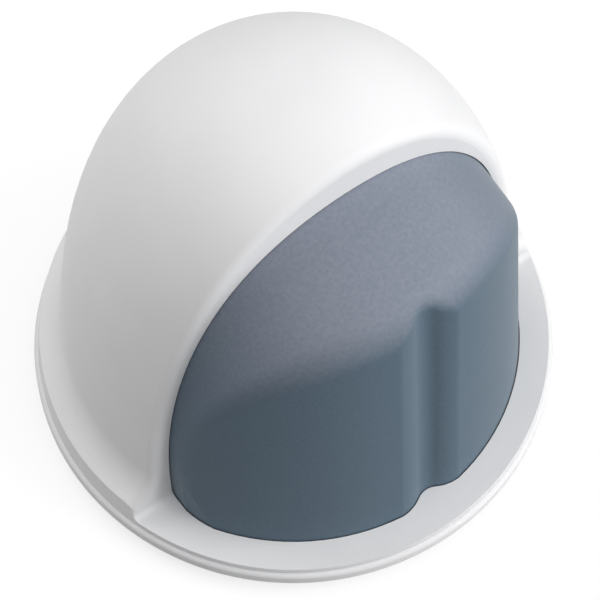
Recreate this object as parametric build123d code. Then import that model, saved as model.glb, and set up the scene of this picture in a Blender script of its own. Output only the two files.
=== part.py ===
from build123d import *
import os
from math import acos, cos, radians, sin, tan

# Adhesive floor door stop: a white domed hood on a round base, with a grey rubber buffer in its mouth.
# Millimetres. The origin is the centre of the adhesive underside, +Z is up and the buffer faces -Y.

# Foam pad and base plate
FLANGE_R = 20.0
PAD_T = 1.0
PAD_INSET = 0.8
PLATE_T = 1.4
PLATE_EDGE_ROUND = 0.4

# Hood: front ledge, flared skirt and dome
LEDGE_T = 0.6
RIM_INSET = 0.3
RIM_ROUND = 0.25
SKIRT_RISE = 1.6
SKIRT_LEAN = 0.3
SKIRT_W = 2.4
FLARE_SLOPE = 35.0
FLARE_RATIO = 1.45
DOME_H = 32.9
DOME_SIDE_PULL = 15.6
DOME_CROWN_PULL = 13.8
WALL = 1.5
CROWN_WALL = 1.9

# Mouth of the hood: a flat front with a rounded lip, and a bulkhead behind the buffer
FRONT_SETBACK = 5.4
LIP_DEPTH = 2.5
LIP_ROUND = 1.0
LEDGE_FILLET = 0.55
BULKHEAD_T = 1.8

# Rubber buffer
BUFFER_R = 17.3
BUFFER_HALF_W = 15.2
BUFFER_H = 28.6
BUFFER_SIDE_PULL = 4.0
BUFFER_CROWN_PULL = 16.9
BUFFER_LEAN = 4.5
BUFFER_SLOPE = 12.0
BUFFER_ROUND = 3.0
BUFFER_CORNER_R = 9.0
BUFFER_CORNER_PROUD = 0.15
BUFFER_WALL = 4.0
BUFFER_FLANGE_T = 2.0

# Vertical groove down the middle of the buffer
GROOVE_DEPTH = 0.9
GROOVE_BOTTOM_R = 1.6
GROOVE_SHOULDER_R = 3.2
GROOVE_PROUD = 0.03
GROOVE_EDGE_ROUND = 1.3

# Locating features on the base plate
LOCATOR_H = 2.0
LOCATOR_T = 1.2

# Clearances
BUFFER_GAP = 0.1
FLANGE_GAP = 0.2
LOCATOR_GAP = 0.15

# Levels and planes worked out from the sizes above
SEAM_Z = PAD_T + PLATE_T
LEDGE_Z = SEAM_Z + LEDGE_T
SKIRT_Z = LEDGE_Z + SKIRT_RISE
TOP_Z = LEDGE_Z + DOME_H
RIM_R = FLANGE_R - RIM_INSET
DOME_R = FLANGE_R - SKIRT_W
FLARE_ROUND = FLARE_RATIO * SKIRT_W
FRONT_Y = -FRONT_SETBACK
LIP_BACK_Y = FRONT_Y + LIP_DEPTH
BULKHEAD_FRONT_Y = LIP_BACK_Y + BUFFER_FLANGE_T + 2 * FLANGE_GAP
BULKHEAD_BACK_Y = BULKHEAD_FRONT_Y + BULKHEAD_T
REACH = 2 * FLANGE_R
LOW = (Align.CENTER, Align.CENTER, Align.MIN)


def slab(y_from, y_to, z_from, z_to):
    """Block wider than the part, used to keep or cut one stretch of it."""
    middle = Pos(0, (y_from + y_to) / 2, (z_from + z_to) / 2)
    return middle * Box(2 * REACH, y_to - y_from, z_to - z_from)


def dome_outline(inset, crown_inset):
    """Half section of a dome on the seam, drawn in by an inset at its side and another at its crown."""
    radius = DOME_R - inset
    top = TOP_Z - crown_inset
    foot = Polyline((0, top), (0, SEAM_Z), (radius, SEAM_Z), (radius, LEDGE_Z))
    side = Bezier(
        (radius, LEDGE_Z),
        (radius, LEDGE_Z + DOME_SIDE_PULL),
        (DOME_CROWN_PULL - inset, top),
        (0, top),
    )
    return make_face(foot + side)


def skirt_outline():
    """Half section of the leaning rim wall and the sloping top that runs up to the dome."""
    top_r = RIM_R - SKIRT_LEAN
    inner_r = DOME_R - WALL
    inner_z = SKIRT_Z + (top_r - inner_r) * tan(radians(FLARE_SLOPE))
    outline = Polyline(
        (0, SEAM_Z),
        (RIM_R, SEAM_Z),
        (top_r, SKIRT_Z),
        (inner_r, inner_z),
        (0, inner_z),
        close=True,
    )
    return make_face(outline)


def dome_hollow(gap):
    """Inside of the dome's wall, drawn in by a gap where a piece has to fit it."""
    return revolve(Plane.XZ * dome_outline(WALL + gap, CROWN_WALL + gap), Axis.Z)


def hood_outside():
    """Dome and skirt joined by a concave flare, cut flat in front down to the ledge, with a rounded lip."""
    whole = revolve(Plane.XZ * (dome_outline(0, 0) + skirt_outline()), Axis.Z)
    circles = whole.edges().filter_by(GeomType.CIRCLE).sort_by(Axis.Z)
    whole = fillet(circles[-1], FLARE_ROUND)
    rim = whole.edges().filter_by(GeomType.CIRCLE).sort_by(Axis.Z)[0]
    whole = fillet(rim, RIM_ROUND)
    solid = whole - slab(-REACH, FRONT_Y, LEDGE_Z, TOP_Z + REACH)
    front = solid.faces().filter_by(Axis.Y).sort_by(Axis.Y)[0]
    lip = [edge for edge in front.edges() if edge.center().Z > SKIRT_Z]
    return fillet(lip, LIP_ROUND) + (ledge_cove() & whole)


def ledge_cove():
    """Bar with a hollow face that rounds the corner between the ledge and the front of the hood."""
    bar = slab(FRONT_Y - LEDGE_FILLET, FRONT_Y, LEDGE_Z, LEDGE_Z + LEDGE_FILLET)
    scoop = Rot(0, 90, 0) * Cylinder(LEDGE_FILLET, 4 * REACH)
    return bar - Pos(0, FRONT_Y - LEDGE_FILLET, LEDGE_Z + LEDGE_FILLET) * scoop


def mouth_face(grow):
    """Arched outline of the buffer where it leaves the hood."""
    half = BUFFER_HALF_W + grow
    top = LEDGE_Z + BUFFER_H + grow
    side = Line((half, SEAM_Z), (half, LEDGE_Z))
    crown = Bezier(
        (half, LEDGE_Z),
        (half, LEDGE_Z + BUFFER_SIDE_PULL),
        (BUFFER_CROWN_PULL + grow, top),
        (0, top),
    )
    right = side + crown
    outline = right + mirror(right, Plane.YZ) + Line((-half, SEAM_Z), (half, SEAM_Z))
    return Pos(0, FRONT_Y, 0) * (Plane.XZ * make_face(outline))


def nose_block(grow):
    """Buffer in front of the hood: the arch runs out and down to a round wall that leans back."""
    slope = radians(BUFFER_SLOPE)
    tunnel = extrude(mouth_face(grow), amount=REACH, dir=(0, -cos(slope), -sin(slope)))
    lean = tan(radians(BUFFER_LEAN))
    foot_r = BUFFER_R + grow + LEDGE_T * lean
    wall_h = TOP_Z - SEAM_Z
    wall = Pos(0, 0, SEAM_Z) * Cone(foot_r, foot_r - wall_h * lean, wall_h, align=LOW)
    return tunnel & wall


def buffer_nose(grow):
    """The same block with the rim of its round wall softened."""
    nose = nose_block(grow)
    rim = nose.faces().filter_by(GeomType.CONE).edges()
    rim = [edge for edge in rim if edge.center().Z > SEAM_Z + LEDGE_T / 2]
    return fillet(rim, BUFFER_ROUND + grow)


def corner_prism(grow):
    """Upright block, a little proud of the nose, whose large corner radius trims the foot at each side."""
    half = BUFFER_HALF_W + grow + BUFFER_CORNER_PROUD
    plan = Circle(BUFFER_R + grow + BUFFER_CORNER_PROUD) & Rectangle(2 * half, REACH)
    corners = [corner for corner in plan.vertices() if corner.Y < 0]
    plan = fillet(corners, BUFFER_CORNER_R + grow)
    return Pos(0, 0, SEAM_Z) * extrude(plan, amount=TOP_Z - SEAM_Z)


def groove_cutter(grow):
    """Groove with a round bottom and round shoulders, leaning back with the front wall."""
    wall_r = BUFFER_R + grow + GROOVE_PROUD
    shoulder_r = GROOVE_SHOULDER_R + grow
    bottom_r = GROOVE_BOTTOM_R - grow
    shoulder_d = wall_r - shoulder_r
    bottom_d = BUFFER_R + grow - GROOVE_DEPTH + bottom_r
    reach = shoulder_r + bottom_r
    spread = acos((shoulder_d**2 + bottom_d**2 - reach**2) / (2 * shoulder_d * bottom_d))
    centre = Vector(sin(spread), -cos(spread)) * shoulder_d
    crest = centre * (wall_r / shoulder_d)
    meet = centre + (Vector(0, -bottom_d) - centre) * (shoulder_r / reach)
    middle = centre + ((crest - centre) + (meet - centre)).normalized() * shoulder_r
    right = ThreePointArc(crest, middle, meet)
    bottom = ThreePointArc(meet, (0, bottom_r - bottom_d), (-meet.X, meet.Y))
    outside = Polyline(crest, (crest.X, -REACH), (-crest.X, -REACH), (-crest.X, crest.Y))
    outline = right + bottom + mirror(right, Plane.YZ) + outside
    lean = radians(BUFFER_LEAN)
    face = Pos(0, 0, LEDGE_Z) * make_face(outline)
    return extrude(face, amount=REACH, dir=(0, sin(lean), cos(lean)), both=True)


def groove_end(nose):
    """Edge across the upper end of the groove, where it runs out into the soft rim."""

    def across(edge):
        size = edge.bounding_box().size
        return abs(edge.center().X) < GROOVE_PROUD and max(size.Y, size.Z) < GROOVE_DEPTH

    return nose.edges().filter_by(across).sort_by(Axis.Z)[-1]


def grooved_nose(grow):
    """Nose with trimmed foot corners and a groove; rounding its end also rounds the two long edges."""
    nose = (buffer_nose(grow) & corner_prism(grow)) - groove_cutter(grow)
    return fillet(groove_end(nose), GROOVE_EDGE_ROUND + grow)


def buffer_body(grow):
    """Outside of the buffer up to the back of the lip, grown by a gap for the opening it sits in."""
    root = extrude(mouth_face(grow), amount=LIP_DEPTH + FLANGE_GAP, dir=(0, 1, 0))
    return root + grooved_nose(grow)


def hood():
    """White moulding: dome, skirt and ledge in one, hollow on both sides of a bulkhead."""
    solid = hood_outside() - buffer_body(BUFFER_GAP)
    hollow = dome_hollow(0)
    solid -= hollow & slab(LIP_BACK_Y, BULKHEAD_FRONT_Y, SEAM_Z, TOP_Z)
    return solid - (hollow & slab(BULKHEAD_BACK_Y, REACH, SEAM_Z, TOP_Z))


def buffer():
    """Grey rubber moulding, cored from below, with a flange that is trapped behind the lip."""
    flange_y = LIP_BACK_Y + FLANGE_GAP
    flange = dome_hollow(FLANGE_GAP) & slab(flange_y, flange_y + BUFFER_FLANGE_T, SEAM_Z, TOP_Z)
    return buffer_body(0) + flange - nose_block(-BUFFER_WALL)


def base_plate():
    """White disc that closes the underside, with a rear ring and a front key to locate the mouldings."""
    disc = Pos(0, 0, PAD_T) * Cylinder(FLANGE_R, PLATE_T, align=LOW)
    disc = fillet(disc.edges().filter_by(GeomType.CIRCLE), PLATE_EDGE_ROUND)
    top = SEAM_Z + LOCATOR_H
    back = BULKHEAD_BACK_Y + LOCATOR_GAP
    ring = dome_hollow(LOCATOR_GAP) & slab(back, REACH, SEAM_Z, top)
    ring -= dome_hollow(LOCATOR_GAP + LOCATOR_T) & slab(back + LOCATOR_T, REACH, SEAM_Z, top)
    key = nose_block(-BUFFER_WALL - LOCATOR_GAP) & slab(-REACH, FRONT_Y - LOCATOR_GAP, SEAM_Z, top)
    return disc + ring + key


def adhesive_pad():
    """White foam disc, sticky on both faces."""
    return Cylinder(FLANGE_R - PAD_INSET, PAD_T, align=LOW)


def main():
    """Builds every piece and writes it."""
    os.makedirs("parts", exist_ok=True)
    for piece in (hood, buffer, base_plate, adhesive_pad):
        export_step(piece(), f"parts/{piece.__name__}.step")


main()
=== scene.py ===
from math import cos, radians, sin

import bpy
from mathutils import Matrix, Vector

# Adhesive floor door stop on a white studio floor. Metres, in the frame of the solids: +Z up, buffer to -Y.

# Camera: the photograph's angle, aimed at the axis at the height of the front ledge
IMAGE_PX = 600
FOCAL_PX = 2600
AIM_U = 293.5
AIM_V = 331.7
AIM_Z = 0.0030
CAMERA_AZIMUTH = -36.7
CAMERA_ELEVATION = 63.28
CAMERA_DISTANCE = 0.200
CAMERA_CLIP = 0.01
SENSOR_MM = 36.0

# Lamps: square softboxes at one distance, each as azimuth, elevation and watts
LAMP_DISTANCE = 0.45
LAMP_SIZE = 0.33
FRONT_LAMP = (42.0, 20.0, 1.55)
BACK_LAMP = (192.0, 40.0, 0.78)
HIGH_LAMP = (36.0, 66.0, 0.45)
LEFT_LAMP = (276.0, 68.0, 0.26)

# Surround and floor: level of the surround's light, floor size and tone, and the glow that whitens it
WORLD_LEVEL = 0.33
FLOOR_SIZE = 3.0
FLOOR_TONE = 0.35
FLOOR_LIFT = 0.70

# White plastic: tones, the noise span between them, pattern sizes, roughness, bumps as depth and strength
HOOD_TONES = ((0.78, 0.78, 0.79), (0.80, 0.80, 0.81))
BASE_TONES = ((0.77, 0.77, 0.78), (0.79, 0.79, 0.80))
PLASTIC_TONE_SPAN = (0.35, 0.65)
PLASTIC_PATCH = 0.0060
PLASTIC_RIPPLE = 0.0040
PLASTIC_GRAIN = 0.00022
PLASTIC_ROUGH = (0.54, 0.66)
PLASTIC_RIPPLE_BUMP = (0.00004, 0.25)
PLASTIC_GRAIN_BUMP = (0.00002, 0.25)

# Grey rubber: the same, with its own tones, a painted highlight's tones for faces that look up, sheen, and
# the upward share where it is full
RUBBER_OWN_TONES = ((0.074, 0.122, 0.166), (0.090, 0.140, 0.186))
# Painted highlight: lighter tones for the faces that look up, standing in for the light of the lamps above
RUBBER_PAINTED_TOP_LIGHT = ((0.217, 0.243, 0.297), (0.256, 0.281, 0.337))
RUBBER_TONE_SPAN = (0.30, 0.70)
RUBBER_RIPPLE = 0.0030
RUBBER_GRAIN = 0.00030
RUBBER_ROUGH = (0.50, 0.64)
RUBBER_RIPPLE_BUMP = (0.00006, 0.25)
RUBBER_GRAIN_BUMP = (0.00004, 0.35)
RUBBER_SPECULAR = 0.05
RUBBER_SHEEN = 0.40
RUBBER_SHEEN_ROUGH = 0.30
# Upward share of a face's normal at which the painted highlight is full
PAINTED_LIGHT_FULL = 0.88

# Foam tape: tones from the middle of a cell to its edge, cell size, roughness, and pits as a bump
FOAM_TONES = ((0.62, 0.62, 0.60), (0.78, 0.78, 0.76))
FOAM_TONE_SPAN = (0.10, 0.60)
FOAM_CELL = 0.0004
FOAM_ROUGH = (0.80, 0.95)
FOAM_PIT_BUMP = (0.00006, 0.50)

# Span of a pattern's values that the roughness follows
PATTERN_SPAN = (0.30, 0.70)

# Sockets of the mix node when it mixes colours; their names are not unique
MIX_FACTOR = 0
MIX_FIRST = 6
MIX_SECOND = 7
MIX_RESULT = 2

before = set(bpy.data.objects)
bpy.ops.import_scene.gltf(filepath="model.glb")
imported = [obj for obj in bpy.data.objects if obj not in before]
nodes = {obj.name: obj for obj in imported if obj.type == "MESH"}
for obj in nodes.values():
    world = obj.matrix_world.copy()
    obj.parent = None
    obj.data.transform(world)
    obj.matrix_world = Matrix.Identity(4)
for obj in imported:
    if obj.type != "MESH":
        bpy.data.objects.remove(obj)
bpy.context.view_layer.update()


def direction(azimuth, elevation):
    """Unit vector from the object towards a place seen at this azimuth and elevation in degrees."""
    a = radians(azimuth)
    e = radians(elevation)
    return Vector((sin(a) * cos(e), -cos(a) * cos(e), sin(e)))


def put(node, **inputs):
    """Sets input sockets by name, with an underscore for each space."""
    for name, value in inputs.items():
        node.inputs[name.replace("_", " ")].default_value = value


class Shader:
    """Small helper that adds and links the nodes of one material."""

    def __init__(self, name):
        self.material = bpy.data.materials.new(name)
        self.material.use_nodes = True
        self.tree = self.material.node_tree
        self.tree.nodes.clear()
        self.surface = self.add("ShaderNodeBsdfPrincipled")
        self.place = self.add("ShaderNodeTexCoord")
        output = self.add("ShaderNodeOutputMaterial")
        self.link(self.surface, "BSDF", output, "Surface")

    def add(self, kind, **inputs):
        """Adds a node with these input values."""
        node = self.tree.nodes.new(kind)
        put(node, **inputs)
        return node

    def link(self, start, output, end, socket):
        """Leads an output of one node to an input of another."""
        self.tree.links.new(start.outputs[output], end.inputs[socket])

    def noise(self, size, detail, roughness=0.5):
        """Noise whose grains are about this many metres across."""
        node = self.add("ShaderNodeTexNoise", Scale=1.0 / size, Detail=detail, Roughness=roughness)
        self.link(self.place, "Object", node, "Vector")
        return node

    def cells(self, size):
        """Closed cells of about this many metres across."""
        node = self.add("ShaderNodeTexVoronoi", Scale=1.0 / size)
        self.link(self.place, "Object", node, "Vector")
        return node

    def ramp(self, source, output, span, tones):
        """Colour that goes from the first tone to the second over a span of the source's values."""
        node = self.add("ShaderNodeValToRGB")
        for point, position, tone in zip(node.color_ramp.elements, span, tones):
            point.position = position
            point.color = (*tone, 1.0)
        self.link(source, output, node, "Fac")
        return node

    def spread(self, source, output, span, results):
        """Value that goes from the first result to the second over a span of the source's values."""
        start, end = span
        low, high = results
        node = self.add("ShaderNodeMapRange", From_Min=start, From_Max=end, To_Min=low, To_Max=high)
        self.link(source, output, node, "Value")
        return node

    def blend(self, factor, first, second):
        """Colour that goes from the first ramp to the second as the factor rises."""
        node = self.add("ShaderNodeMix")
        node.data_type = "RGBA"
        self.link(factor, "Result", node, MIX_FACTOR)
        self.link(first, "Color", node, MIX_FIRST)
        self.link(second, "Color", node, MIX_SECOND)
        return node

    def upward(self, full):
        """Value from 0 on an upright face to 1 on a face whose normal has this much of its length upwards."""
        normal = self.add("ShaderNodeNewGeometry")
        parts = self.add("ShaderNodeSeparateXYZ")
        self.link(normal, "Normal", parts, "Vector")
        return self.spread(parts, "Z", (0.0, full), (0.0, 1.0))

    def bump(self, source, output, bump, under=None):
        """Relief of a depth and a strength from a pattern, on top of another relief if one is given."""
        depth, strength = bump
        node = self.add("ShaderNodeBump", Strength=strength, Distance=depth)
        self.link(source, output, node, "Height")
        if under is not None:
            self.link(under, "Normal", node, "Normal")
        return node


def white_plastic(name, tones):
    """Satin white moulding: a very fine spark texture over a slow ripple."""
    s = Shader(name)
    patches = s.noise(PLASTIC_PATCH, detail=2.0)
    colour = s.ramp(patches, "Fac", PLASTIC_TONE_SPAN, tones)
    s.link(colour, "Color", s.surface, "Base Color")
    grain = s.noise(PLASTIC_GRAIN, detail=2.0, roughness=0.6)
    rough = s.spread(grain, "Fac", PATTERN_SPAN, PLASTIC_ROUGH)
    s.link(rough, "Result", s.surface, "Roughness")
    ripple = s.noise(PLASTIC_RIPPLE, detail=1.0)
    slow = s.bump(ripple, "Fac", PLASTIC_RIPPLE_BUMP)
    fine = s.bump(grain, "Fac", PLASTIC_GRAIN_BUMP, under=slow)
    s.link(fine, "Normal", s.surface, "Normal")
    return s.material


def grey_rubber():
    """Matte blue-grey rubber with a fine grain and a painted highlight, a lighter tone, on the faces that
    look up.
    """
    s = Shader("rubber_grey")
    grain = s.noise(RUBBER_GRAIN, detail=3.0, roughness=0.6)
    own_tones = s.ramp(grain, "Fac", RUBBER_TONE_SPAN, RUBBER_OWN_TONES)
    painted_top_light = s.ramp(grain, "Fac", RUBBER_TONE_SPAN, RUBBER_PAINTED_TOP_LIGHT)
    # Painted highlight: the lighter tones take over as a face turns up
    colour = s.blend(s.upward(PAINTED_LIGHT_FULL), own_tones, painted_top_light)
    s.link(colour, MIX_RESULT, s.surface, "Base Color")
    rough = s.spread(grain, "Fac", PATTERN_SPAN, RUBBER_ROUGH)
    s.link(rough, "Result", s.surface, "Roughness")
    ripple = s.noise(RUBBER_RIPPLE, detail=2.0)
    slow = s.bump(ripple, "Fac", RUBBER_RIPPLE_BUMP)
    fine = s.bump(grain, "Fac", RUBBER_GRAIN_BUMP, under=slow)
    s.link(fine, "Normal", s.surface, "Normal")
    put(s.surface, Specular_IOR_Level=RUBBER_SPECULAR)
    put(s.surface, Sheen_Weight=RUBBER_SHEEN, Sheen_Roughness=RUBBER_SHEEN_ROUGH)
    return s.material


def foam():
    """Off-white closed-cell foam tape."""
    s = Shader("foam_white")
    cells = s.cells(FOAM_CELL)
    colour = s.ramp(cells, "Distance", FOAM_TONE_SPAN, FOAM_TONES)
    s.link(colour, "Color", s.surface, "Base Color")
    rough = s.spread(cells, "Distance", PATTERN_SPAN, FOAM_ROUGH)
    s.link(rough, "Result", s.surface, "Roughness")
    pits = s.bump(cells, "Distance", FOAM_PIT_BUMP)
    s.link(pits, "Normal", s.surface, "Normal")
    return s.material


def dress(node, material):
    """Gives a node of the solids its material."""
    mesh = nodes[node].data
    mesh.materials.clear()
    mesh.materials.append(material)


def make_camera():
    """Camera whose aim point falls on the pixel where the photograph has it."""
    data = bpy.data.cameras.new("camera")
    data.sensor_width = SENSOR_MM
    data.lens = SENSOR_MM * FOCAL_PX / IMAGE_PX
    data.shift_x = (IMAGE_PX / 2 - AIM_U) / IMAGE_PX
    data.shift_y = (AIM_V - IMAGE_PX / 2) / IMAGE_PX
    data.clip_start = CAMERA_CLIP
    camera = bpy.data.objects.new("camera", data)
    back = direction(CAMERA_AZIMUTH, CAMERA_ELEVATION)
    camera.location = Vector((0, 0, AIM_Z)) + back * CAMERA_DISTANCE
    camera.rotation_euler = (-back).to_track_quat("-Z", "Y").to_euler()
    bpy.context.scene.collection.objects.link(camera)
    bpy.context.scene.camera = camera


def make_lamp(name, azimuth, elevation, watts):
    """Square softbox aimed at the origin, under the middle of the object."""
    data = bpy.data.lights.new(name, "AREA")
    data.shape = "SQUARE"
    data.size = LAMP_SIZE
    data.energy = watts
    lamp = bpy.data.objects.new(name, data)
    towards = direction(azimuth, elevation)
    lamp.location = towards * LAMP_DISTANCE
    lamp.rotation_euler = (-towards).to_track_quat("-Z", "Y").to_euler()
    bpy.context.scene.collection.objects.link(lamp)


def larger(tree, first, second):
    """Larger of two values."""
    node = tree.nodes.new("ShaderNodeMath")
    node.operation = "MAXIMUM"
    tree.links.new(first, node.inputs[0])
    tree.links.new(second, node.inputs[1])
    return node.outputs["Value"]


def scaled(tree, value, factor, offset):
    """Value times a factor plus an offset."""
    node = tree.nodes.new("ShaderNodeMath")
    node.operation = "MULTIPLY_ADD"
    tree.links.new(value, node.inputs[0])
    node.inputs[1].default_value = factor
    node.inputs[2].default_value = offset
    return node.outputs["Value"]


def looked_at(tree):
    """One for rays from the camera, a reflection or a clear part, and zero for what lights matt faces."""
    path = tree.nodes.new("ShaderNodeLightPath").outputs
    seen = larger(tree, path["Is Camera Ray"], path["Is Glossy Ray"])
    return larger(tree, seen, path["Is Transmission Ray"])


def make_world():
    """Even surround that looks white and lights the object at a lower level."""
    world = bpy.data.worlds.new("studio")
    world.use_nodes = True
    tree = world.node_tree
    background = tree.nodes["Background"]
    put(background, Color=(1, 1, 1, 1))
    strength = scaled(tree, looked_at(tree), 1.0 - WORLD_LEVEL, WORLD_LEVEL)
    tree.links.new(strength, background.inputs["Strength"])
    bpy.context.scene.world = world


def floor_white():
    """Matt floor with a glow for the camera, reflections and clear parts, which lights no matt face."""
    material = bpy.data.materials.new("floor_white")
    material.use_nodes = True
    tree = material.node_tree
    tree.nodes.clear()
    output = tree.nodes.new("ShaderNodeOutputMaterial")
    both = tree.nodes.new("ShaderNodeAddShader")
    matt = tree.nodes.new("ShaderNodeBsdfDiffuse")
    put(matt, Color=(FLOOR_TONE, FLOOR_TONE, FLOOR_TONE, 1))
    glow = tree.nodes.new("ShaderNodeEmission")
    tree.links.new(scaled(tree, looked_at(tree), FLOOR_LIFT, 0.0), glow.inputs["Strength"])
    tree.links.new(matt.outputs["BSDF"], both.inputs[0])
    tree.links.new(glow.outputs["Emission"], both.inputs[1])
    tree.links.new(both.outputs["Shader"], output.inputs["Surface"])
    return material


def make_floor():
    """Pale floor that the camera sees as white, with the object's soft shadow kept."""
    half = FLOOR_SIZE / 2
    mesh = bpy.data.meshes.new("floor")
    corners = [(-half, -half, 0), (half, -half, 0), (half, half, 0), (-half, half, 0)]
    mesh.from_pydata(corners, [], [(0, 1, 2, 3)])
    mesh.materials.append(floor_white())
    floor = bpy.data.objects.new("floor", mesh)
    bpy.context.scene.collection.objects.link(floor)


dress("hood", white_plastic("plastic_white_hood", HOOD_TONES))
dress("base_plate", white_plastic("plastic_white_base", BASE_TONES))
dress("buffer", grey_rubber())
dress("adhesive_pad", foam())
make_world()
make_floor()
make_lamp("front", *FRONT_LAMP)
make_lamp("back", *BACK_LAMP)
make_lamp("high", *HIGH_LAMP)
make_lamp("left", *LEFT_LAMP)
make_camera()
bpy.context.scene.view_settings.view_transform = "Standard"
